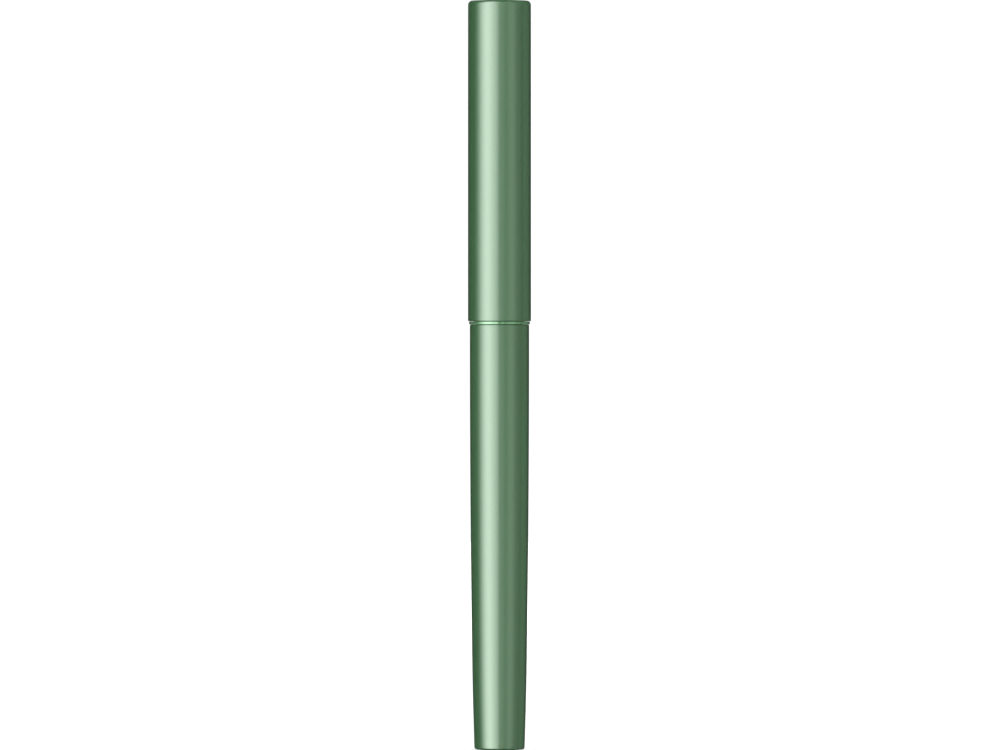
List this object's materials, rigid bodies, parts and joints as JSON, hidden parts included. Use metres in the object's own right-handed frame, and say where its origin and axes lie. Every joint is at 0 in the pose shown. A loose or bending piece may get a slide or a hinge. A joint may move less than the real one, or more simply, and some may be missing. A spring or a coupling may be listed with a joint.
{
  "type": "capped highlighter",
  "caption": "Slim capped highlighter with a round metal barrel that tapers gently to its closed end, a straight cap, a polished collar ring and a drop-in chisel-tip refill.",
  "frame": {"origin": "centre of the barrel's closed end, on the pen's axis", "axes": "+Z along the axis toward the top of the cap, +X toward the long side of the chisel nib"},
  "size_m": [0.0118, 0.0118, 0.14],
  "materials": {
    "satin_shell": "satin green anodised aluminium with a very fine grain",
    "polished_collar": "polished green anodised aluminium",
    "brass_insert": "turned brass",
    "graphite_grip": "matt graphite plastic",
    "bright_nose": "polished plated metal",
    "spring_steel": "drawn spring steel",
    "seal_rubber": "black rubber",
    "dark_plastic": "moulded dark plastic",
    "milky_plastic": "milky moulded plastic",
    "refill_white": "white extruded plastic",
    "holder_plastic": "moulded black plastic",
    "core_film": "thin clear film",
    "inked_fibre": "bundled polyester fibre soaked with green ink",
    "inked_felt": "pressed felt soaked with green ink"
  },
  "bodies": {
    "barrel": {"barrel_shell": "satin_shell", "barrel_bush": "brass_insert", "spring_seat": "dark_plastic", "refill_spring": "spring_steel"},
    "collar": {"collar_ring": "polished_collar"},
    "section": {"grip_section": "graphite_grip", "tenon_seal": "seal_rubber", "nose_cone": "bright_nose", "nose_seal": "seal_rubber"},
    "clutch": {"clutch_ring": "spring_steel"},
    "refill": {"refill_tube": "refill_white", "core_wrap": "core_film", "ink_core": "inked_fibre", "nib_holder": "holder_plastic", "nib": "inked_felt", "refill_plug": "dark_plastic"},
    "cap": {"cap_shell": "satin_shell", "cap_liner": "dark_plastic", "inner_cap_spring": "spring_steel", "cap_spring_seat": "dark_plastic"},
    "inner_cap": {"inner_cap": "milky_plastic"}
  },
  "joints": [
    {"name": "section_rise", "type": "slide", "parent": "barrel", "child": "collar", "axis": [0, 0, 1], "range_m": [0, 0.00781]},
    {"name": "section_turn", "type": "hinge", "parent": "collar", "child": "section", "pos_m": [0, 0, 0.08], "axis": [0, 0, 1], "range_deg": [0, 2251]},
    {"name": "cap_turn", "type": "hinge", "parent": "section", "child": "clutch", "pos_m": [0, 0, 0.0834], "axis": [0, 0, 1], "continuous": true},
    {"name": "cap_pull", "type": "slide", "parent": "clutch", "child": "cap", "axis": [0, 0, 1], "range_m": [0, 0.05]},
    {"name": "inner_cap_press", "type": "slide", "parent": "cap", "child": "inner_cap", "axis": [0, 0, 1], "range_m": [0, 0.0015], "stiffness_N_per_m": 400, "springref_m": -0.003, "deforming": ["inner_cap_spring"]},
    {"name": "refill_press", "type": "slide", "parent": "section", "child": "refill", "axis": [0, 0, 1], "range_m": [-0.0015, 0], "stiffness_N_per_m": 500, "springref_m": 0.003, "deforming": ["refill_spring"]}
  ],
  "couplings": [
    {"joint": "section_turn", "follows": "section_rise", "rad_per_m": 5026.5}
  ]
}
